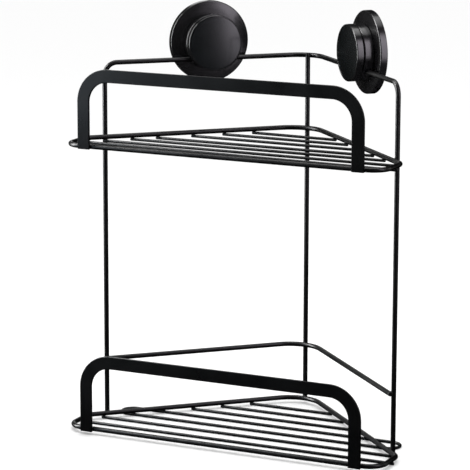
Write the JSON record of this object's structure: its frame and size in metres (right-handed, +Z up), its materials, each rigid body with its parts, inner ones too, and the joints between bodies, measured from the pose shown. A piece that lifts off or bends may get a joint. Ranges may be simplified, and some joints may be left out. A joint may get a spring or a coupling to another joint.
{
  "type": "shower caddy",
  "caption": "Two-tier corner shower caddy of bent coated wire with flat-bar front rails, hung by screw-down suction cups that slide along its top wire.",
  "frame": {"origin": "centre of the base of the bounding box, on the surface the lower shelf's cross wires stand on", "axes": "+Z up, -Y towards the room, +Y into the corner of the two walls, +X to the right seen from the room; the walls stand at 45 degrees to X and Y"},
  "size_m": [0.3216, 0.2035, 0.3963],
  "materials": {
    "coated_wire": "satin black powder coat",
    "coated_bar": "satin black powder coat",
    "cup_plastic": "fine-textured satin black",
    "cap_plastic": "smooth satin black",
    "washer_plastic": "plain",
    "cup_rubber": "smooth",
    "plated_steel": "zinc plated",
    "brass": "turned"
  },
  "bodies": {
    "frame": {"frame_wire": "coated_wire", "back_post": "coated_wire", "guard_rail": "coated_wire", "upper_shelf_outline": "coated_wire", "upper_front_rail": "coated_bar", "upper_grid_wire_1": "coated_wire", "upper_grid_wire_2": "coated_wire", "upper_grid_wire_3": "coated_wire", "upper_grid_wire_4": "coated_wire", "upper_grid_wire_5": "coated_wire", "upper_grid_wire_6": "coated_wire", "upper_grid_wire_7": "coated_wire", "lower_shelf_outline": "coated_wire", "lower_front_rail": "coated_bar", "lower_grid_wire_1": "coated_wire", "lower_grid_wire_2": "coated_wire", "lower_grid_wire_5": "coated_wire", "lower_grid_wire_6": "coated_wire", "lower_grid_wire_7": "coated_wire", "lower_spacer_loop": "coated_wire"},
    "left_cup": {"left_housing": "cup_plastic", "left_holder": "cup_plastic", "left_washer": "washer_plastic"},
    "left_knob": {"left_knob_body": "cup_plastic", "left_knob_insert": "brass", "left_knob_cap": "cap_plastic"},
    "left_vacuum": {"left_membrane": "cup_rubber", "left_stud": "plated_steel"},
    "right_cup": {"right_housing": "cup_plastic", "right_holder": "cup_plastic", "right_washer": "washer_plastic"},
    "right_knob": {"right_knob_body": "cup_plastic", "right_knob_insert": "brass", "right_knob_cap": "cap_plastic"},
    "right_vacuum": {"right_membrane": "cup_rubber", "right_stud": "plated_steel"}
  },
  "joints": [
    {"name": "left_cup_slide", "type": "slide", "parent": "frame", "child": "left_cup", "axis": [-0.7071, -0.7071, 0], "range_m": [-0.0494, 0.0666]},
    {"name": "left_knob_turn", "type": "hinge", "parent": "left_cup", "child": "left_knob", "pos_m": [-0.07311, 0.03633, 0.3578], "axis": [-0.7071, 0.7071, 0], "range_deg": [0, 720]},
    {"name": "left_vacuum_pull", "type": "slide", "parent": "left_cup", "child": "left_vacuum", "axis": [0.7071, -0.7071, 0], "range_m": [0, 0.002]},
    {"name": "right_cup_slide", "type": "slide", "parent": "frame", "child": "right_cup", "axis": [0.7071, -0.7071, 0], "range_m": [-0.06, 0.056]},
    {"name": "right_knob_turn", "type": "hinge", "parent": "right_cup", "child": "right_knob", "pos_m": [0.08061, 0.02883, 0.3578], "axis": [0.7071, 0.7071, 0], "range_deg": [0, 720]},
    {"name": "right_vacuum_pull", "type": "slide", "parent": "right_cup", "child": "right_vacuum", "axis": [-0.7071, -0.7071, 0], "range_m": [0, 0.002]}
  ],
  "couplings": [
    {"joint": "left_vacuum_pull", "follows": "left_knob_turn", "m_per_rad": 0.00015914},
    {"joint": "right_vacuum_pull", "follows": "right_knob_turn", "m_per_rad": 0.00015914}
  ]
}
